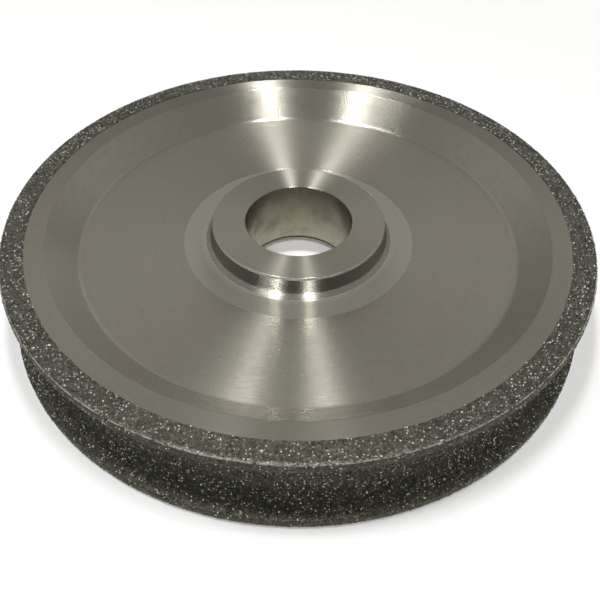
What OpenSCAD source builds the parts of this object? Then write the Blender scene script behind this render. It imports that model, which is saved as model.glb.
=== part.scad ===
// Diamond grinding wheel with a concave rim, lying flat on its rear face.
// Millimetres. The wheel's axis is +Z and the origin is on that axis, at the rear face of the rim.
// Every piece is turned, so each is one cross-section (radius, height) revolved about the axis.

/* [Wheel] */
// Diameter over the diamond coat
outer_diameter = 175; // [160:1:200]
// Thickness of the rim over both coated faces
thickness = 28; // [26:0.5:32]
// Diameter of the bore that fits the arbor
bore_diameter = 32; // [20:1:36]

/* [Rim] */
// Width of the coated band on each face of the rim
band_width = 7; // [5:0.5:10]
// Width of the bare land inside each coated band
land_width = 5.8; // [4:0.2:8]
// Height of each lip beside the groove
lip_height = 3.2; // [2.6:0.1:4]
// Depth of the groove between the lips
groove_depth = 7.5; // [4:0.5:9]
// Radius on the outer corner of each lip, over the coat
lip_corner = 1.2; // [1:0.1:1.6]

/* [Dishes] */
// Depth of the front dish below the land, at the foot of its wall
front_dish_depth = 7.6; // [6:0.2:9]
// Depth of the rear dish below the land, at the foot of its wall
rear_dish_depth = 6.5; // [4:0.5:7]
// Radial width of each dish's sloping wall
wall_width = 8.9; // [6:0.1:12]
// How much higher the front dish lies at the hub than at its wall
web_rise = 0.7; // [0.2:0.1:1]

/* [Hub] */
// Diameter of the flange let into the front of the web
flange_diameter = 69.8; // [64:0.2:80]
// Thickness of that flange
flange_thickness = 4; // [3:0.5:6]
// Diameter of the spigot that passes through the web
spigot_diameter = 52; // [46:1:58]
// Diameter of the boss at its top face
boss_diameter = 52; // [46:1:56]
// Length of the hub from its front face to its rear face
hub_length = 20.8; // [19.6:0.1:21.6]
// How far the boss's top face lies below the front land
boss_drop = 0.4; // [0.2:0.1:2]
// Chamfer on the boss's top edge and on the spigot's rear edge
hub_chamfer = 0.5; // [0.3:0.1:0.8]
// Chamfer on both ends of the bore
bore_chamfer = 0.2; // [0.1:0.1:0.5]

/* [Diamond coat] */
// Thickness of the nickel that holds the crystals
bond_thickness = 0.2; // [0.15:0.05:0.25]
// Height that the crystals stand out of the nickel
grit_height = 0.2; // [0.15:0.05:0.25]

/* [Hidden] */

STEEL = "#76736a";
HUB_STEEL = "#7d7a71";
NICKEL = "#8b877b";
GRIT = "#4b493f";

$fn = 180;
CORNER_STEPS = 6;   // straight steps around each lip's rounded corner
FILLET_STEPS = 5;   // straight steps around the fillet at the boss's foot
MARGIN = 5;         // how far a cutting area runs past what it cuts

// Heights
coat = bond_thickness + grit_height;
mid_z = thickness / 2;
front_land_z = thickness - coat;
rear_land_z = coat;
front_foot_z = front_land_z - front_dish_depth;
rear_foot_z = rear_land_z + rear_dish_depth;
flange_z = front_foot_z + web_rise;
seat_z = flange_z - flange_thickness;
boss_z = front_land_z - boss_drop;
hub_rear_z = boss_z - hub_length;
groove_top_z = thickness - lip_height;

// Radii
outer_r = outer_diameter / 2;
band_r = outer_r - band_width;
land_r = band_r - land_width;
foot_r = land_r - wall_width;
flange_r = flange_diameter / 2;
spigot_r = spigot_diameter / 2;
bore_r = bore_diameter / 2;
corner_r = outer_r - lip_corner;
worn = lip_corner / 2;   // the crystals stop this far short of both faces of a lip's corner

// The groove is an arc through the two inner edges of the lips
half_groove = mid_z - lip_height;
groove_r = (half_groove ^ 2 + groove_depth ^ 2) / (2 * groove_depth);
groove_centre_r = outer_r - groove_depth + groove_r;

// The boss leans out a little, ends in a cone, and a fillet runs from the cone into the flange
boss_r = boss_diameter / 2;
boss_lean = 0.7;
cone_top_z = flange_z + 1.8;
cone_foot_r = boss_r + 2;
cone_foot_z = flange_z + 0.5;
fillet_width = 1.6;
seam_chamfer = 0.1;

// Points on an arc about (r, z), from one angle to another
function arc(r, z, radius, from, to, steps) = [
    for (i = [0:steps]) let (a = from + (to - from) * i / steps)
        [r + radius * cos(a), z + radius * sin(a)]
];

// The right-hand part of the rim's section, from the rear face round to the front face
function rim_edge(inset) = concat(
    arc(corner_r, lip_corner, lip_corner - inset, -90, 0, CORNER_STEPS),
    arc(corner_r, thickness - lip_corner, lip_corner - inset, 0, 90, CORNER_STEPS)
);

module turned() {
    rotate_extrude() children();
}

module groove_area(inset) {
    translate([groove_centre_r, mid_z]) circle(r = groove_r + inset);
}

// The rim's section, a given depth below the tips of the crystals
module rim_area(inset) {
    difference() {
        polygon(concat([[foot_r, inset]], rim_edge(inset), [[foot_r, thickness - inset]]));
        groove_area(inset);
    }
}

// The part of the section between two radii and two heights
module window(r0, r1, z0, z1) {
    translate([r0, z0]) square([r1 - r0, z1 - z0]);
}

// One layer of the coat, between two depths; it stops at the lands on both faces
module layer_area(outer_inset, inner_inset) {
    difference() {
        rim_area(outer_inset);
        rim_area(inner_inset);
        window(foot_r - MARGIN, band_r, -MARGIN, lip_height);
        window(foot_r - MARGIN, band_r, groove_top_z, thickness + MARGIN);
    }
}

// A closed band of crystals, where their layer crosses one window of the section
module grit(r0, r1, z0, z1) {
    color(GRIT) turned() intersection() {
        layer_area(0, grit_height);
        window(r0, r1, z0, z1);
    }
}

// Steel body: the web with its two dishes, and the rim with the groove turned in it
module core() {
    outline = concat(
        [[spigot_r, rear_foot_z], [foot_r, rear_foot_z], [land_r, rear_land_z]],
        rim_edge(coat),
        [[land_r, front_land_z], [foot_r, front_foot_z], [flange_r, flange_z]],
        [[flange_r, seat_z], [spigot_r, seat_z]]
    );
    color(STEEL) turned() difference() {
        polygon(outline);
        groove_area(coat);
    }
}

// Hub pressed into the web: spigot, flange, raised boss and the bore
module hub_insert() {
    spigot_and_flange = [
        [bore_r + bore_chamfer, hub_rear_z],
        [spigot_r - hub_chamfer, hub_rear_z],
        [spigot_r, hub_rear_z + hub_chamfer],
        [spigot_r, seat_z],
        [flange_r, seat_z],
        [flange_r, flange_z - seam_chamfer],
        [flange_r - seam_chamfer, flange_z]
    ];
    fillet = [
        for (i = [0:FILLET_STEPS]) let (t = 1 - i / FILLET_STEPS)
            [cone_foot_r + fillet_width * t, flange_z + (cone_foot_z - flange_z) * (1 - t) ^ 2]
    ];
    boss = [
        [boss_r + boss_lean, cone_top_z],
        [boss_r, boss_z - hub_chamfer],
        [boss_r - hub_chamfer, boss_z],
        [bore_r + bore_chamfer, boss_z],
        [bore_r, boss_z - bore_chamfer],
        [bore_r, hub_rear_z + bore_chamfer]
    ];
    color(HUB_STEEL) turned() polygon(concat(spigot_and_flange, fillet, boss));
}

// Nickel plated on the rim, all in one skin; it shows bare on the worn corners of the lips
module nickel_bond() {
    color(NICKEL) turned() layer_area(grit_height, coat);
}

module grit_front_band() {
    grit(band_r, corner_r + worn, groove_top_z, thickness + MARGIN);
}

module grit_front_lip() {
    grit(corner_r + worn, outer_r + MARGIN, groove_top_z, thickness - worn);
}

module grit_groove() {
    grit(foot_r, outer_r + MARGIN, lip_height, groove_top_z);
}

module grit_rear_lip() {
    grit(corner_r + worn, outer_r + MARGIN, worn, lip_height);
}

module grit_rear_band() {
    grit(band_r, corner_r + worn, -MARGIN, lip_height);
}

core();
hub_insert();
nickel_bond();
grit_front_band();
grit_front_lip();
grit_groove();
grit_rear_lip();
grit_rear_band();
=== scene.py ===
"""Diamond grinding wheel: the looks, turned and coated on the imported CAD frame. Metres."""

import math

import bmesh
import bpy
import numpy as np
from mathutils import Euler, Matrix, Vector


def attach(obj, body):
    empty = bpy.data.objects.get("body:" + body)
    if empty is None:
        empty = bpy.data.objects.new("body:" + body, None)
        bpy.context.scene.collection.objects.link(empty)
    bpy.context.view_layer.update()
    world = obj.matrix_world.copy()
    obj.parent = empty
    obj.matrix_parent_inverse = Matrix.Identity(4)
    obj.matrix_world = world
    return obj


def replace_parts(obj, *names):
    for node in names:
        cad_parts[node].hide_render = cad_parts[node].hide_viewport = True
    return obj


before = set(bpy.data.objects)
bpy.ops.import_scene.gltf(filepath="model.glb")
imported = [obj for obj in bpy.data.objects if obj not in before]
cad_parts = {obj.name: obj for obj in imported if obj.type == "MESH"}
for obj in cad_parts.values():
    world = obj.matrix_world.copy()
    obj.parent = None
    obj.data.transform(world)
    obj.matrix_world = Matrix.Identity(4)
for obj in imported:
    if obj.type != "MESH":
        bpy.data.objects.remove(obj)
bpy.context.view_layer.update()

MM = 0.001
TURN_STEPS = 720  # steps round each turned piece
GROOVE_SECTORS = 6  # meshes that the groove's crystals are set in
BACKDROP_LEVEL = 0.98  # brightness of the plain white behind the wheel


# ---------------------------------------------------------------- sizes, read from the CAD nodes


def section(node):
    """The radius and the height of every vertex of a turned CAD node."""
    co = np.array([v.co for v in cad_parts[node].data.vertices])
    return np.hypot(co[:, 0], co[:, 1]), co[:, 2]


core_r, core_z = section("core")
hub_r, hub_z = section("hub_insert")
band_rs, band_zs = section("grit_front_band")
lip_rs, lip_zs = section("grit_front_lip")
groove_rs = section("grit_groove")[0]

THICKNESS = band_zs.max().item()
MID_Z = THICKNESS / 2
OUTER_R = lip_rs.max().item()
BAND_R = band_rs.min().item()
band_edge = band_zs[band_rs < BAND_R + 1e-6]
GRIT_H = (band_edge.max() - band_edge.min()).item()
LIP_H = THICKNESS - lip_zs.min().item()
LIP_CORNER = 2 * (OUTER_R - band_rs.max().item())
CORNER_R = OUTER_R - LIP_CORNER
LAND_Z = core_z.max().item()
COAT = THICKNESS - LAND_Z
GROOVE_DEPTH = OUTER_R - groove_rs.min().item() - GRIT_H

LAND_R = core_r[core_z > LAND_Z - 1e-6].min().item()
FLANGE_R = hub_r.max().item()
FLANGE_Z = hub_z[hub_r > FLANGE_R - 0.5 * MM].max().item()
SEAT_Z = hub_z[hub_r > FLANGE_R - 1e-6].min().item()
SPIGOT_R = core_r.min().item()
REAR_FOOT_Z = core_z[core_r < SPIGOT_R + 1e-6].min().item()
front_web = (core_z > MID_Z) & (core_r > FLANGE_R + 1e-6) & (core_r < LAND_R)
FOOT_Z = core_z[front_web].min().item()
FOOT_R = core_r[front_web][core_z[front_web].argmin()].item()
BORE_R = hub_r.min().item()
BOSS_Z = hub_z.max().item()
HUB_REAR_Z = hub_z.min().item()
BORE_CHAMFER = BOSS_Z - hub_z[hub_r < BORE_R + 1e-6].max().item()
boss_top_r = hub_r[hub_z > BOSS_Z - 1e-6].max().item()
CHAMFER = BOSS_Z - hub_z[(hub_r > boss_top_r + 1e-6) & (hub_z < BOSS_Z - 1e-6)].max().item()
BOSS_R = boss_top_r + CHAMFER

HALF_GROOVE = MID_Z - LIP_H
GROOVE_R = (HALF_GROOVE**2 + GROOVE_DEPTH**2) / (2 * GROOVE_DEPTH)
GROOVE_CENTRE_R = OUTER_R - GROOVE_DEPTH + GROOVE_R


# ---------------------------------------------------------------- turned pieces


def rounded(corners, steps=4, hold=0.12 * MM):
    """A closed section with each corner (r, z, radius) rounded, and a point kept near it on each flat."""
    out = []
    n = len(corners)
    for i, (r, z, radius) in enumerate(corners):
        p = np.array([r, z])
        if not radius:
            out.append(p)
            continue
        to_last = np.array(corners[i - 1][:2]) - p
        to_next = np.array(corners[(i + 1) % n][:2]) - p
        length_last, length_next = np.linalg.norm(to_last), np.linalg.norm(to_next)
        to_last, to_next = to_last / length_last, to_next / length_next
        half = math.acos(max(-1.0, min(1.0, float(to_last @ to_next)))) / 2
        reach = min(radius / math.tan(half), 0.45 * length_last, 0.45 * length_next)
        a, b = p + to_last * reach, p + to_next * reach
        if length_last > 2 * (reach + hold):
            out.append(a + to_last * hold)
        for u in np.linspace(0, 1, steps + 1):
            out.append(a * (1 - u) ** 2 + 2 * p * u * (1 - u) + b * u**2)
        if length_next > 2 * (reach + hold):
            out.append(b + to_next * hold)
    return np.array(out)


def new_object(name, verts, faces):
    """A mesh object from arrays of corners and of faces that all have the same number of corners."""
    mesh = bpy.data.meshes.new(name)
    count, sides = faces.shape
    mesh.vertices.add(len(verts))
    mesh.vertices.foreach_set("co", np.asarray(verts, np.float32).ravel())
    mesh.loops.add(count * sides)
    mesh.loops.foreach_set("vertex_index", faces.astype(np.int32).ravel())
    mesh.polygons.add(count)
    mesh.polygons.foreach_set("loop_start", np.arange(0, count * sides, sides, dtype=np.int32))
    mesh.update(calc_edges=True)
    mesh.validate()
    obj = bpy.data.objects.new(name, mesh)
    bpy.context.scene.collection.objects.link(obj)
    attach(obj, "root")
    return obj


def lathe(name, points, materials, pick=None):
    """Turns a closed section about +Z. pick(radius, height) gives each face's material by its middle."""
    n = len(points)
    angles = np.arange(TURN_STEPS) * 2 * math.pi / TURN_STEPS
    r, z = points[:, 0], points[:, 1]
    x, y = np.outer(np.cos(angles), r), np.outer(np.sin(angles), r)
    verts = np.stack([x, y, np.broadcast_to(z, x.shape)], -1).reshape(-1, 3)
    i, j = np.meshgrid(np.arange(TURN_STEPS), np.arange(n), indexing="ij")
    i2, j2 = (i + 1) % TURN_STEPS, (j + 1) % n
    faces = np.stack([i * n + j, i2 * n + j, i2 * n + j2, i * n + j2], -1).reshape(-1, 4)
    if np.sum(r * np.roll(z, -1) - np.roll(r, -1) * z) < 0:
        faces = faces[:, ::-1]
    obj = new_object(name, verts, faces)
    obj.data.shade_smooth()
    for material in materials:
        obj.data.materials.append(material)
    if pick:
        middle_r, middle_z = (r + np.roll(r, -1)) / 2, (z + np.roll(z, -1)) / 2
        which = [pick(a, b) for a, b in zip(middle_r, middle_z)]
        obj.data.polygons.foreach_set("material_index", np.tile(which, TURN_STEPS).astype(np.int32))
    return obj


def groove_arc(inset, count):
    """Points along the groove, front lip to rear lip, a depth below the tips of the crystals."""
    radius = GROOVE_R + inset
    reach = math.acos((GROOVE_CENTRE_R - OUTER_R + inset) / radius)
    angles = np.linspace(reach, -reach, count)
    return [(GROOVE_CENTRE_R - radius * math.cos(a), MID_Z + radius * math.sin(a), 0) for a in angles]


def rim_corners(inset, count=48):
    """The rim's section from the front band round to the rear band, a depth below the crystals' tips."""
    edge, corner = OUTER_R - inset, LIP_CORNER - inset
    arc = groove_arc(inset, count)
    first, last = arc[0], arc[-1]
    lip = 0.25 * MM
    return (
        [(edge, THICKNESS - inset, corner), (first[0], first[1], lip)]
        + arc[2:-2]
        + [(last[0], last[1], lip), (edge, inset, corner)]
    )


# ---------------------------------------------------------------- materials


class Graph:
    """A material's node tree, with short calls for the nodes that the finishes use."""

    def __init__(self, name):
        self.material = bpy.data.materials.new(name)
        self.material.use_nodes = True
        self.nodes = self.material.node_tree.nodes
        self.links = self.material.node_tree.links
        self.shader = self.nodes["Principled BSDF"]
        coords = self.nodes.new("ShaderNodeTexCoord")
        self.point = coords.outputs["Object"]

    def feed(self, socket, value):
        if isinstance(value, bpy.types.NodeSocket):
            self.links.new(value, socket)
        else:
            socket.default_value = value

    def math(self, operation, *values, clamp=False):
        node = self.nodes.new("ShaderNodeMath")
        node.operation = operation
        node.use_clamp = clamp
        for socket, value in zip(node.inputs, values):
            self.feed(socket, value)
        return node.outputs[0]

    def polar(self):
        """X, Y, the radius from the axis and the height, as sockets, in metres."""
        split = self.nodes.new("ShaderNodeSeparateXYZ")
        self.feed(split.inputs[0], self.point)
        x, y, z = split.outputs
        radius = self.math("SQRT", self.math("ADD", self.math("MULTIPLY", x, x), self.math("MULTIPLY", y, y)))
        return x, y, radius, z

    def turned(self, x, y, radius, height):
        """Points for marks that run round the axis: one set without end, the other in short dashes."""
        depth = self.math("SUBTRACT", radius, height)
        reach = self.math("DIVIDE", 6 * MM, radius)
        east, north = self.math("MULTIPLY", x, reach), self.math("MULTIPLY", y, reach)
        return self.vector(depth), self.vector(east, north, depth)

    def leaning(self, x, y, radius, lean, lift):
        """The surface's normal, leaned towards the axis and lifted."""
        share = self.math("DIVIDE", -lean, radius)
        inward = self.vector(self.math("MULTIPLY", x, share), self.math("MULTIPLY", y, share), lift)
        total = self.nodes.new("ShaderNodeVectorMath")
        geometry = self.nodes.new("ShaderNodeNewGeometry")
        self.feed(total.inputs[0], geometry.outputs["Normal"])
        self.feed(total.inputs[1], inward)
        unit = self.nodes.new("ShaderNodeVectorMath")
        unit.operation = "NORMALIZE"
        self.feed(unit.inputs[0], total.outputs[0])
        return unit.outputs[0]

    def lathe_tangent(self):
        """Sets the tangent round the axis, so that highlights run across the turning marks."""
        tangent = self.nodes.new("ShaderNodeTangent")
        tangent.direction_type = "RADIAL"
        tangent.axis = "Z"
        self.feed(self.shader.inputs["Tangent"], tangent.outputs[0])

    def vector(self, x, y=0.0, z=0.0):
        node = self.nodes.new("ShaderNodeCombineXYZ")
        for socket, value in zip(node.inputs, (x, y, z)):
            self.feed(socket, value)
        return node.outputs[0]

    def noise(self, size, detail=2.0, roughness=0.5, vector=None):
        """Noise from 0 to 1 whose features are about size metres across."""
        node = self.nodes.new("ShaderNodeTexNoise")
        self.feed(node.inputs["Vector"], vector or self.point)
        node.inputs["Scale"].default_value = 1 / size
        node.inputs["Detail"].default_value = detail
        node.inputs["Roughness"].default_value = roughness
        return node.outputs["Fac"]

    def ramp(self, value, low, high, to_low=0.0, to_high=1.0):
        node = self.nodes.new("ShaderNodeMapRange")
        self.feed(node.inputs["Value"], value)
        for name, number in (("From Min", low), ("From Max", high), ("To Min", to_low), ("To Max", to_high)):
            node.inputs[name].default_value = number
        return node.outputs["Result"]

    def mix(self, factor, a, b):
        node = self.nodes.new("ShaderNodeMix")
        node.data_type = "RGBA"
        self.feed(node.inputs["Factor"], factor)
        self.feed(node.inputs["A"], (*a, 1.0) if isinstance(a, tuple) else a)
        self.feed(node.inputs["B"], (*b, 1.0) if isinstance(b, tuple) else b)
        return node.outputs["Result"]

    def bump(self, height, distance, strength=1.0, normal=None):
        node = self.nodes.new("ShaderNodeBump")
        node.inputs["Distance"].default_value = distance
        node.inputs["Strength"].default_value = strength
        self.feed(node.inputs["Height"], height)
        if normal:
            self.feed(node.inputs["Normal"], normal)
        return node.outputs["Normal"]

    def finish(self, colour, roughness, normal=None, **numbers):
        self.feed(self.shader.inputs["Base Color"], (*colour, 1.0) if isinstance(colour, tuple) else colour)
        self.feed(self.shader.inputs["Roughness"], roughness)
        if normal:
            self.feed(self.shader.inputs["Normal"], normal)
        for name, number in numbers.items():
            self.shader.inputs[name.replace("_", " ")].default_value = number
        return self.material


def turned_metal(name, colour, warm, rough, lean, lift=0.0, metallic=1.0, grain=0.002 * MM):
    """Steel turned on a lathe: it gleams along the radius, most where the marks' flanks face the light.

    lean is how far the marks' flanks face the axis, lift how far they face up, and grain the marks' depth.
    """
    g = Graph(name)
    x, y, radius, height = g.polar()
    across, around = g.turned(x, y, radius, height)
    rings = g.noise(0.6 * MM, 3.0, 0.6, across)
    wide_rings = g.noise(4 * MM, 2.0, 0.5, across)
    dashes = g.noise(0.25 * MM, 2.0, 0.6, around)
    clouds = g.noise(28 * MM, 3.0, 0.55)
    tone = g.mix(g.ramp(clouds, 0.35, 0.65), colour, warm)
    tone = g.mix(g.ramp(wide_rings, 0.3, 0.7, 0.0, 0.12), tone, (0.36, 0.345, 0.31))
    tone = g.mix(g.ramp(dashes, 0.35, 0.75, 0.0, 0.22), tone, (0.3, 0.29, 0.26))
    ring_roughness = g.ramp(rings, 0.3, 0.7, rough - 0.015, rough + 0.015)
    roughness = g.math("ADD", ring_roughness, g.ramp(dashes, 0.3, 0.7, -0.03, 0.03))
    g.lathe_tangent()
    normal = g.bump(dashes, grain, 1.0, g.leaning(x, y, radius, lean, lift))
    return g.finish(tone, roughness, normal, Metallic=metallic, Anisotropic=1.0, Anisotropic_Rotation=0.25)


def bore_metal():
    """The bore's wall: ground smooth, stained brown, with a painted reflection of the lit floor low down and
    a painted shade line at its lower edge.
    """
    g = Graph("bore_stains_and_painted_light")
    height = g.polar()[3]
    stains = g.noise(6 * MM, 4.0, 0.6)
    streaks = g.noise(1.2 * MM, 3.0, 0.6)
    # Painted reflection: lighter towards the foot, where the wall would mirror the lit floor, darker towards
    # the top
    tone = g.mix(g.ramp(height, HUB_REAR_Z, BOSS_Z - 2 * MM), (0.56, 0.518, 0.41), (0.16, 0.141, 0.115))
    tone = g.mix(g.ramp(stains, 0.5, 0.68, 0.0, 0.35), tone, (0.23, 0.19, 0.145))
    tone = g.mix(g.ramp(streaks, 0.45, 0.7, 0.0, 0.3), tone, (0.26, 0.236, 0.19))
    # Painted shade: near black just above the lower edge, where the bore's foot lies in shadow
    tone = g.mix(g.ramp(height, HUB_REAR_Z + 0.5 * MM, HUB_REAR_Z + 1.1 * MM), (0.03, 0.027, 0.022), tone)
    g.lathe_tangent()
    normal = g.bump(streaks, 0.006 * MM)
    roughness = g.ramp(stains, 0.35, 0.65, 0.26, 0.4)
    return g.finish(tone, roughness, normal, Metallic=1.0, Anisotropic=0.8, Anisotropic_Rotation=0.25)


def broken_edge():
    """A chamfer filed and knocked by handling. Its nicks run up to a colour lighter than steel: a painted
    highlight along the edge. It catches every light a little.
    """
    g = Graph("broken_edge")
    nicks = g.noise(0.5 * MM, 3.0, 0.6)
    # The nicks are wear; the light colour they run up to is a painted highlight along the chamfer
    tone = g.mix(g.ramp(nicks, 0.35, 0.65), (0.48, 0.465, 0.41), (0.72, 0.7, 0.62))
    return g.finish(tone, g.ramp(nicks, 0.3, 0.7, 0.42, 0.56), g.bump(nicks, 0.02 * MM), Metallic=1.0)


def nickel():
    """Plated nickel: lumpy, dark between the crystals, partly its own dull colour and partly painted shade;
    rubbed bright along the lips' corners.
    """
    g = Graph("nickel_plate")
    radius, height = g.polar()[2:]
    lumps = g.noise(0.3 * MM, 2.0, 0.6)
    patches = g.noise(2.2 * MM, 3.0, 0.6)
    # Partly painted shade: this dark colour also stands for the shade in the hollows among the crystals
    dull = g.mix(g.ramp(patches, 0.35, 0.65), (0.07, 0.067, 0.05), (0.15, 0.146, 0.113))
    over_edge = g.math("SUBTRACT", radius, OUTER_R - 0.5 * LIP_CORNER)
    rubbed = g.ramp(g.noise(0.9 * MM, 3.0, 0.7), 0.4, 0.5)
    worn = g.math("MULTIPLY", g.ramp(over_edge, -0.06 * MM, 0.02 * MM), rubbed)
    on_lip = g.math("ABSOLUTE", g.math("SUBTRACT", height, MID_Z))
    worn = g.math("MULTIPLY", worn, g.ramp(on_lip, MID_Z - 0.6 * LIP_CORNER, MID_Z - 0.53 * LIP_CORNER))
    tone = g.mix(worn, dull, (0.9, 0.88, 0.82))
    return g.finish(tone, g.ramp(lumps, 0.3, 0.7, 0.36, 0.56), g.bump(lumps, 0.05 * MM), Metallic=1.0)


def diamond(name, grey, painted_glint_from):
    """Crystals: most are dark and glassy, some grey, and a share picked at random run up to white as painted
    glints.
    """
    g = Graph(name)
    geometry = g.nodes.new("ShaderNodeNewGeometry")
    pick = geometry.outputs["Random Per Island"]
    clouds = g.noise(4 * MM, 2.0, 0.5)
    dark = g.mix(g.ramp(clouds, 0.35, 0.65), (0.008, 0.0075, 0.004), (0.02, 0.019, 0.012))
    tone = g.mix(g.ramp(pick, 0.6, 0.66), dark, grey)
    # Painted glints: crystals past the threshold are painted up to white, for facets that mirror the lamps
    tone = g.mix(g.math("POWER", g.ramp(pick, painted_glint_from, 1.0), 2.0), tone, (1.0, 0.985, 0.9))
    return g.finish(tone, g.ramp(pick, 0.0, 1.0, 0.3, 0.1), IOR=2.1)


# ---------------------------------------------------------------- crystals

CUBE = np.array([[x, y, z] for x in (-1, 1) for y in (-1, 1) for z in (-1, 1)]) / math.sqrt(3)
CUBE_FACES = np.array([
    [0, 1, 3], [0, 3, 2], [4, 6, 7], [4, 7, 5], [0, 4, 5], [0, 5, 1],
    [2, 3, 7], [2, 7, 6], [0, 2, 6], [0, 6, 4], [1, 5, 7], [1, 7, 3],
])
OCTAHEDRON = np.array([[1, 0, 0], [-1, 0, 0], [0, 1, 0], [0, -1, 0], [0, 0, 1], [0, 0, -1]], float)
OCTAHEDRON_FACES = np.array([
    [0, 2, 4], [2, 1, 4], [1, 3, 4], [3, 0, 4], [2, 0, 5], [1, 2, 5], [3, 1, 5], [0, 3, 5],
])


def random_turns(rng, count):
    """Rotation matrices spread evenly over every direction."""
    q = rng.normal(size=(count, 4))
    w, x, y, z = (q / np.linalg.norm(q, axis=1)[:, None]).T
    return np.stack([
        1 - 2 * (y * y + z * z), 2 * (x * y - z * w), 2 * (x * z + y * w),
        2 * (x * y + z * w), 1 - 2 * (x * x + z * z), 2 * (y * z - x * w),
        2 * (x * z - y * w), 2 * (y * z + x * w), 1 - 2 * (x * x + y * y),
    ], -1).reshape(-1, 3, 3)


def scatter(rng, path, spacing, start, stop, keep):
    """Places and outward directions on a section turned from one angle to another, evenly but not in rows."""
    steps = np.diff(path, axis=0)
    lengths = np.linalg.norm(steps, axis=1)
    along = np.concatenate([[0], np.cumsum(lengths)])
    rows = max(1, round(along[-1] / spacing))
    places = []
    for row in range(rows):
        middle = (row + 0.5) / rows * along[-1]
        radius = np.interp(middle, along, path[:, 0])
        count = round((stop - start) * radius / spacing)
        turns = np.arange(count) + 0.5 * (row % 2) + rng.uniform(-0.38, 0.38, count)
        angle = start + turns * (stop - start) / count
        s = np.clip(middle + rng.uniform(-0.42, 0.42, count) * spacing, 0, along[-1])
        kept = rng.random(count) < keep
        places.append(np.stack([angle, s], -1)[kept])
    angle, s = np.concatenate(places).T
    which = np.clip(np.searchsorted(along, s) - 1, 0, len(steps) - 1)
    r, z = np.interp(s, along, path[:, 0]), np.interp(s, along, path[:, 1])
    out_r, out_z = steps[which, 1] / lengths[which], -steps[which, 0] / lengths[which]
    place = np.stack([r * np.cos(angle), r * np.sin(angle), z], -1)
    out = np.stack([out_r * np.cos(angle), out_r * np.sin(angle), out_z], -1)
    return place, out


def crystal_arrays(rng, place, out, shape, faces, size):
    """One crystal of a shape at each place, turned at random, with its tip at a height over the nickel."""
    count = len(place)
    worn = rng.uniform(0.8, 1.2, (count, len(shape), 1)) * shape
    scale = size * rng.lognormal(0.0, 0.16, (count, 1, 1))
    verts = np.einsum("nij,nkj->nki", random_turns(rng, count), worn * scale)
    tips = np.einsum("nki,ni->nk", verts, out).max(1)
    height = GRIT_H * rng.uniform(0.45, 1.05, count)
    verts += (place + out * (height - tips)[:, None])[:, None, :]
    index = (np.arange(count) * len(shape))[:, None, None] + faces
    return verts.reshape(-1, 3), index.reshape(-1, 3)


def crystals(name, material, path, seed, start=0.0, stop=2 * math.pi, keep=0.94, spacing=0.43 * MM):
    """One zone of the coat, as separate crystals set along a section of the nickel's surface."""
    rng = np.random.default_rng(seed)
    place, out = scatter(rng, path, spacing, start, stop, keep)
    blocky = rng.random(len(place)) < 0.6
    parts = [
        crystal_arrays(rng, place[blocky], out[blocky], CUBE, CUBE_FACES, 0.27 * MM),
        crystal_arrays(rng, place[~blocky], out[~blocky], OCTAHEDRON, OCTAHEDRON_FACES, 0.3 * MM),
    ]
    shift = len(parts[0][0])
    verts = np.concatenate([parts[0][0], parts[1][0]])
    faces = np.concatenate([parts[0][1], parts[1][1] + shift])
    obj = new_object(name, verts, faces)
    obj.data.materials.append(material)
    return obj


# ---------------------------------------------------------------- the wheel


def body():
    """The turned steel body, with its corners broken as a lathe leaves them."""
    points = rounded(
        [
            (SPIGOT_R, REAR_FOOT_Z, 0.1 * MM),
            (SPIGOT_R, SEAT_Z, 0),
            (FLANGE_R, SEAT_Z, 0),
            (FLANGE_R, FLANGE_Z, 0.05 * MM),
            (FOOT_R, FOOT_Z, 2.5 * MM),
            (LAND_R, LAND_Z, 0.3 * MM),
        ]
        + rim_corners(COAT)
        + [
            (LAND_R, COAT, 0.3 * MM),
            (FOOT_R, REAR_FOOT_Z, 2.5 * MM),
        ]
    )

    web, wall, land = range(3)

    def finish(r, z):
        if r < FOOT_R:
            return web
        return wall if r < LAND_R - 0.1 * MM else land

    obj = lathe("body_turned", points, [STEEL, WALL_STEEL, LAND_STEEL], finish)
    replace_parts(obj, "core")
    return obj


# The boss leans out a little, ends in a cone, and a small step and a fillet lead from it into the flange
BOSS_LEAN = 0.7 * MM
CONE_TOP = 1.8 * MM
CONE_FOOT_OUT, CONE_FOOT_UP = 2.0 * MM, 0.5 * MM
STEP_OUT, STEP_UP = 1.95 * MM, 0.38 * MM
FILLET_OUT, FILLET_UP = 2.4 * MM, 0.12 * MM
FILLET_END = 3.6 * MM


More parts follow.
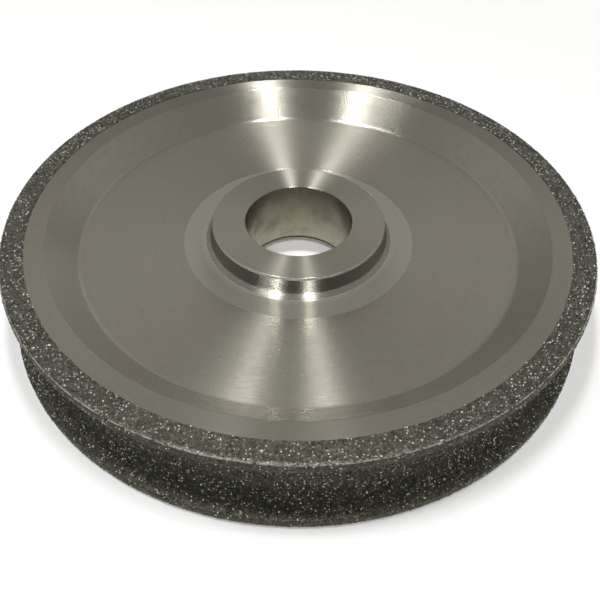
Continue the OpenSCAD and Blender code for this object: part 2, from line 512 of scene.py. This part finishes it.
def hub():
    """The hub: flange, boss, spigot and stained bore."""
    points = rounded(
        [
            (BORE_R + BORE_CHAMFER, HUB_REAR_Z, 0.08 * MM),
            (BORE_R, HUB_REAR_Z + BORE_CHAMFER, 0.08 * MM),
            (BORE_R, BOSS_Z - BORE_CHAMFER, 0.08 * MM),
            (BORE_R + BORE_CHAMFER, BOSS_Z, 0.08 * MM),
            (BOSS_R - CHAMFER, BOSS_Z, 0.2 * MM),
            (BOSS_R, BOSS_Z - CHAMFER, 0.3 * MM),
            (BOSS_R + BOSS_LEAN, FLANGE_Z + CONE_TOP, 1.0 * MM),
            (BOSS_R + CONE_FOOT_OUT, FLANGE_Z + CONE_FOOT_UP, 0.05 * MM),
            (BOSS_R + STEP_OUT, FLANGE_Z + STEP_UP, 0.05 * MM),
            (BOSS_R + FILLET_OUT, FLANGE_Z + FILLET_UP, 0.4 * MM),
            (BOSS_R + FILLET_END, FLANGE_Z, 1.0 * MM),
            (FLANGE_R, FLANGE_Z, 0.06 * MM),
            (FLANGE_R, SEAT_Z, 0),
            (SPIGOT_R, SEAT_Z, 0),
            (SPIGOT_R, HUB_REAR_Z, 0.4 * MM),
        ]
    )

    top, side, bore, flange, edge, foot = range(6)

    def finish(r, z):
        if r < BORE_R + 0.05 * MM:
            return bore
        if z < FLANGE_Z + 0.4 * MM:
            return flange
        if BOSS_R - 0.95 * CHAMFER < r < BOSS_R + 0.1 * MM and z > BOSS_Z - CHAMFER - 0.05 * MM:
            return edge
        if r > BOSS_R + 0.75 * MM and z < FLANGE_Z + 1.75 * MM:
            return foot
        return side if r > BOSS_R - 0.1 * MM else top

    finishes = [HUB_STEEL, BOSS_STEEL, BORE_STEEL, FLANGE_STEEL, EDGE_STEEL, FOOT_STEEL]
    obj = lathe("hub_turned", points, finishes, finish)
    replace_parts(obj, "hub_insert")
    return obj


def skin():
    """The nickel, one skin over the rim from band to band, sunk a little into the steel behind it."""
    sunk = COAT + 0.05 * MM
    outside = [(BAND_R, THICKNESS - GRIT_H, 0.1 * MM)] + rim_corners(GRIT_H) + [(BAND_R, GRIT_H, 0.1 * MM)]
    inside = [(BAND_R, sunk, 0)] + rim_corners(sunk, 20)[::-1] + [(BAND_R, THICKNESS - sunk, 0)]
    points = rounded(outside + inside)
    obj = lathe("nickel_skin", points, [NICKEL])
    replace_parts(obj, "nickel_bond")
    return obj


def corner_path(start, stop):
    """Points on the nickel round the front lip's corner, between two angles above the horizontal."""
    radius = LIP_CORNER - GRIT_H
    angles = np.radians(np.linspace(start, stop, 6))
    r, z = CORNER_R + radius * np.cos(angles), THICKNESS - LIP_CORNER + radius * np.sin(angles)
    return np.stack([r, z], -1)


def grit():
    """Every zone of the coat. The lips' corners are worn bare at 45 degrees, between band and lip."""
    front = np.concatenate([corner_path(58, 90), [(BAND_R, THICKNESS - GRIT_H)]])
    lip = np.concatenate([[(OUTER_R - GRIT_H, THICKNESS - LIP_H + 0.35 * MM)], corner_path(0, 32)])
    arc = np.array(groove_arc(GRIT_H, 64))[::-1, :2]
    flip = np.array([1, -1])
    mirror = np.array([0, THICKNESS])

    def rear(path):
        return (path * flip + mirror)[::-1]

    zones = [
        ("crystals_front_band", "grit_front_band", front, 0.93),
        ("crystals_front_lip", "grit_front_lip", lip, 0.55),
        ("crystals_rear_lip", "grit_rear_lip", rear(lip), 0.55),
        ("crystals_rear_band", "grit_rear_band", rear(front), 0.93),
    ]
    for seed, (name, node, path, keep) in enumerate(zones):
        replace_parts(crystals(name, DIAMOND, path, seed, keep=keep), node)
    sector = 2 * math.pi / GROOVE_SECTORS
    for i in range(GROOVE_SECTORS):
        seed = 10 + i
        piece = crystals(f"crystals_groove_{i + 1}", DULL_DIAMOND, arc, seed, i * sector, (i + 1) * sector)
        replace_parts(piece, "grit_groove")


PALE, WARM = (0.5, 0.485, 0.412), (0.525, 0.492, 0.425)
STEEL = turned_metal("turned_steel", PALE, WARM, 0.24, 0.13)
# Painted shade: the wall is the web's steel in a darker colour, for the shade where it slopes away from the
# light
WALL_STEEL = turned_metal("wall_steel", (0.44, 0.427, 0.36), (0.45, 0.425, 0.365), 0.24, 0.13, metallic=0.86)
LAND_STEEL = turned_metal("land_steel", (0.45, 0.436, 0.37), (0.47, 0.44, 0.38), 0.2, 0.36)
HUB_STEEL = turned_metal("hub_steel", PALE, WARM, 0.24, 0.1)
FINE = 0.0005 * MM
DULL, DULL_WARM = (0.315, 0.306, 0.26), (0.33, 0.312, 0.268)
# Painted shade: the boss's upright side is the hub's steel in this darker colour, for the shade on that face
BOSS_SIDE_PAINTED_SHADE = (0.205, 0.199, 0.162)
FLANGE_STEEL = turned_metal("flange_steel", DULL, DULL_WARM, 0.24, 0.27, metallic=0.55)
# The boss side's colour is painted shade
BOSS_STEEL = turned_metal("boss_side", BOSS_SIDE_PAINTED_SHADE, BOSS_SIDE_PAINTED_SHADE, 0.25, 0.0, lift=1.15, grain=FINE)
FOOT_STEEL = turned_metal("boss_foot", DULL, DULL_WARM, 0.26, 0.0, lift=0.5, metallic=0.8, grain=FINE)
EDGE_STEEL = broken_edge()
BORE_STEEL = bore_metal()
NICKEL = nickel()
DIAMOND = diamond("diamond_grit", (0.095, 0.09, 0.062), 0.82)
DULL_DIAMOND = diamond("diamond_dull", (0.13, 0.124, 0.088), 0.8)

body()
hub()
skin()
grit()


# ---------------------------------------------------------------- floor, light and camera

SPAN = 2 * OUTER_R


def floor_paint():
    """White card near the wheel, running out into the backdrop's plain white."""
    g = Graph("floor")
    away = g.ramp(g.polar()[2], 1.2 * SPAN, 2.6 * SPAN)
    g.feed(g.shader.inputs["Emission Color"], g.mix(away, (0.0, 0.0, 0.0), (1.0, 1.0, 1.0)))
    return g.finish(g.mix(away, (0.96, 0.96, 0.96), (0.0, 0.0, 0.0)), 0.8, Emission_Strength=BACKDROP_LEVEL)


def floor():
    """The floor. It sends no light back to the wheel; the room's light from below stands for that."""
    size = 12 * SPAN
    verts = np.array([(-size, -size, 0), (size, -size, 0), (size, size, 0), (-size, size, 0)], float)
    mesh = bpy.data.meshes.new("floor")
    mesh.from_pydata([tuple(v) for v in verts], [], [(0, 1, 2, 3)])
    obj = bpy.data.objects.new("floor", mesh)
    obj.data.materials.append(floor_paint())
    obj.visible_diffuse = False
    obj.visible_glossy = False
    bpy.context.scene.collection.objects.link(obj)


def backdrop():
    """A plain white dome behind everything. Only the camera sees it, so it sends no light to the wheel."""
    mesh = bpy.data.meshes.new("backdrop")
    dome = bmesh.new()
    bmesh.ops.create_icosphere(dome, subdivisions=4, radius=20 * SPAN)
    dome.to_mesh(mesh)
    dome.free()
    g = Graph("backdrop")
    g.finish((0.0, 0.0, 0.0), 1.0, Emission_Strength=BACKDROP_LEVEL)
    g.shader.inputs["Emission Color"].default_value = (1.0, 1.0, 1.0, 1.0)
    mesh.materials.append(g.material)
    obj = bpy.data.objects.new("backdrop", mesh)
    obj.visible_diffuse = False
    obj.visible_glossy = False
    obj.visible_transmission = False
    obj.visible_shadow = False
    bpy.context.scene.collection.objects.link(obj)


def panel_light(name, x, y, width, length, radiance, height=8.5 * SPAN):
    """A soft panel overhead. Its middle, width and length are shares of its height."""
    data = bpy.data.lights.new(name, "AREA")
    data.shape = "RECTANGLE"
    data.size = width * height
    data.size_y = length * height
    data.energy = math.pi * radiance * data.size * data.size_y
    obj = bpy.data.objects.new(name, data)
    obj.location = (x * height, y * height, height)
    bpy.context.scene.collection.objects.link(obj)
    return obj


def bore_light():
    """A narrow beam down the bore from the front, onto the floor that shows through it."""
    distance, elevation = 0.9, math.radians(48)
    data = bpy.data.lights.new("bore_light", "SPOT")
    data.energy = 10.5
    data.spot_size = 2 * math.atan(1.6 * BORE_R / distance)
    data.spot_blend = 0.3
    data.shadow_soft_size = 0.005
    obj = bpy.data.objects.new("bore_light", data)
    target = Vector((0, 0, MID_Z))
    obj.location = target + distance * Vector((0, -math.cos(elevation), math.sin(elevation)))
    obj.rotation_mode = "QUATERNION"
    obj.rotation_quaternion = (target - obj.location).to_track_quat("-Z", "Y")
    obj.visible_glossy = False
    bpy.context.scene.collection.objects.link(obj)


def sky():
    """A soft pale room: dim at the horizon, darker in front, with a low glow at the back.

    Its light from below the horizon stands for the table's.
    """
    world = bpy.data.worlds.new("room")
    world.use_nodes = True
    nodes, links = world.node_tree.nodes, world.node_tree.links
    background = nodes["Background"]
    coords = nodes.new("ShaderNodeTexCoord")
    split = nodes.new("ShaderNodeSeparateXYZ")
    links.new(coords.outputs["Generated"], split.inputs[0])

    def mapped(value, low, high, to_low, to_high):
        node = nodes.new("ShaderNodeMapRange")
        links.new(value, node.inputs["Value"])
        for name, number in (("From Min", low), ("From Max", high), ("To Min", to_low), ("To Max", to_high)):
            node.inputs[name].default_value = number
        return node.outputs["Result"]

    def combined(operation, a, b):
        node = nodes.new("ShaderNodeMath")
        node.operation = operation
        links.new(a, node.inputs[0])
        if isinstance(b, float):
            node.inputs[1].default_value = b
        else:
            links.new(b, node.inputs[1])
        return node.outputs[0]

    height = nodes.new("ShaderNodeValToRGB")
    steps = height.color_ramp.elements
    levels = [(-0.15, 0.62), (0.0, 0.12), (0.25, 0.26), (0.5, 0.4), (0.62, 0.42), (0.76, 0.33), (1.0, 0.24)]
    while len(steps) < len(levels):
        steps.new(0.5)
    for step, (place, level) in zip(steps, levels):
        step.position = (place + 1) / 2
        step.color = (level, level, level, 1.0)
    links.new(mapped(split.outputs["Z"], -1.0, 1.0, 0.0, 1.0), height.inputs[0])
    side = mapped(split.outputs["Y"], -0.7, 0.45, -0.6, 0.0)
    above = mapped(split.outputs["Z"], -0.15, 0.0, 0.0, 1.0)
    toward = nodes.new("ShaderNodeVectorMath")
    toward.operation = "DOT_PRODUCT"
    links.new(coords.outputs["Generated"], toward.inputs[0])
    toward.inputs[1].default_value = (0.22, 0.96, 0.15)
    glow = mapped(toward.outputs["Value"], 0.92, 1.0, 0.0, 0.3)
    share = combined("ADD", combined("MULTIPLY", side, above), 1.0)
    strength = combined("ADD", combined("MULTIPLY", height.outputs["Color"], share), glow)
    links.new(strength, background.inputs["Strength"])
    background.inputs["Color"].default_value = (1.0, 0.985, 0.93, 1.0)
    bpy.context.scene.world = world


def camera():
    """In front and above, aimed a little below the middle of the front face."""
    distance, elevation = 3.0704 * BAND_R, math.radians(39.54)
    down, left, roll = math.radians(5.67), math.radians(0.09), math.radians(0.73)
    data = bpy.data.cameras.new("camera")
    data.sensor_width = 36.0
    data.lens = 49.12
    data.clip_start = 0.01
    obj = bpy.data.objects.new("camera", data)
    middle = Vector((0, 0, LAND_Z))
    obj.location = middle + distance * Vector((0, -math.cos(elevation), math.sin(elevation)))
    look = (middle - obj.location).to_track_quat("-Z", "Y")
    obj.rotation_mode = "QUATERNION"
    obj.rotation_quaternion = look @ Euler((-down, -left, roll)).to_quaternion()
    bpy.context.scene.collection.objects.link(obj)
    bpy.context.scene.camera = obj


def lights():
    """Two narrow panels for the bright fans, a weak one beside them, a fill in front, and the bore's beam."""
    panel_light("panel_left", -0.21, -0.05, 0.07, 0.22, 72.0)
    panel_light("panel_right", 0.108, -0.05, 0.058, 0.22, 78.0)
    panel_light("panel_far_left", -0.34, -0.05, 0.12, 0.22, 8.0)
    fill = panel_light("front_fill", 0.0, 0.0, 0.5, 0.35, 6.5)
    fill.location = (0.0, -1.1, 1.15)
    fill.rotation_euler = (math.radians(44), 0.0, 0.0)
    fill.visible_glossy = False
    bore_light()


floor()
backdrop()
lights()
sky()
camera()
bpy.context.scene.view_settings.view_transform = "Standard"
